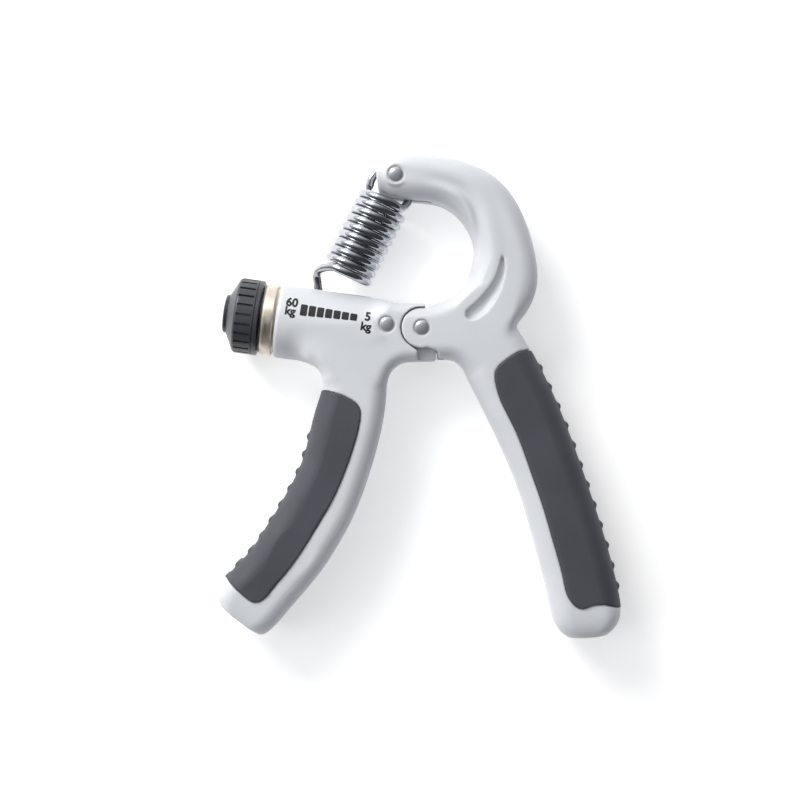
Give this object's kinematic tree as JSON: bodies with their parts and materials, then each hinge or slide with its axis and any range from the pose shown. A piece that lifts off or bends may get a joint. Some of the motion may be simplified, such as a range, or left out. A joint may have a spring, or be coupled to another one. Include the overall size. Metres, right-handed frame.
{
  "type": "hand grip strengthener",
  "caption": "Adjustable R-shaped hand grip strengthener: hinged rubber-covered handles, C-shaped arm, tension spring, and an end knob that moves the spring's carriage to set force.",
  "frame": {"origin": "on the surface it lies on, under the middle of its outline", "axes": "+Z out of the printed front face, +Y towards the C-shaped arm and +X towards the straight right handle; the hinge turns about Z"},
  "size_m": [0.1328, 0.1598, 0.0252],
  "materials": {
    "handle_plastic": "satin, finely grained light grey",
    "grip_rubber": "matte dark slate",
    "steel": "plain steel",
    "rivet_chrome": "polished",
    "nickel_plate": "polished warm nickel",
    "brass_bush": "turned",
    "nylon": "black",
    "knob_plastic": "black satin",
    "cap_plastic": "black satin",
    "carriage_brass": "turned",
    "spring_chrome": "polished wire"
  },
  "bodies": {
    "left": {"left_handle": "handle_plastic", "left_grip": "grip_rubber", "hinge_plate": "steel", "anchor_rivet": "rivet_chrome", "collar_ring": "nickel_plate", "end_bush": "brass_bush"},
    "adjuster": {"adjuster_knob": "knob_plastic", "knob_cap": "cap_plastic", "knob_screw": "steel", "lead_screw": "steel", "retaining_clip": "steel", "thrust_washer": "nylon"},
    "carriage": {"spring_carriage": "carriage_brass"},
    "right": {"right_handle": "handle_plastic", "right_grip": "grip_rubber", "pivot_pin": "rivet_chrome"},
    "spring_top": {"spring_pin": "rivet_chrome"},
    "coils": {"spring_coil": "spring_chrome"},
    "foot": {"spring_foot": "spring_chrome"}
  },
  "joints": [
    {"name": "squeeze", "type": "hinge", "parent": "left", "child": "right", "pos_m": [0.0006, 0.0227, 0.0126], "axis": [0, 0, -1], "range_deg": [0, 30], "stiffness_Nm_per_rad": 14, "springref_deg": -2.86},
    {"name": "knob_turn", "type": "hinge", "parent": "left", "child": "adjuster", "pos_m": [-0.0474, 0.02545, 0.0126], "axis": [0.9903, -0.1392, 0], "range_deg": [-3168, 2016]},
    {"name": "carriage_slide", "type": "slide", "parent": "left", "child": "carriage", "axis": [0.9903, -0.1392, 0], "range_m": [-0.00701, 0.01101]},
    {"name": "spring_swing", "type": "hinge", "parent": "right", "child": "spring_top", "pos_m": [-0.0079, 0.0728, 0.0126], "axis": [0, 0, 1], "range_deg": [-0.01, 8.65]},
    {"name": "spring_lean", "type": "hinge", "parent": "spring_top", "child": "coils", "pos_m": [-0.0079, 0.0728, 0.0126], "axis": [0, 0, 1], "range_deg": [-7.65, 11.95]},
    {"name": "spring_stretch", "type": "slide", "parent": "coils", "child": "foot", "axis": [-0.4617, -0.887, 0], "range_m": [-0.00001, 0.0156], "deforming": ["spring_coil", "spring_foot"]}
  ],
  "couplings": [
    {"joint": "carriage_slide", "follows": "knob_turn", "m_per_rad": -0.00019894},
    {"joint": "spring_swing", "follows": "squeeze", "ratio": 0.28667},
    {"joint": "spring_lean", "follows": "knob_turn", "ratio": -0.00375},
    {"joint": "spring_stretch", "follows": "squeeze", "m_per_rad": 0.029603}
  ]
}
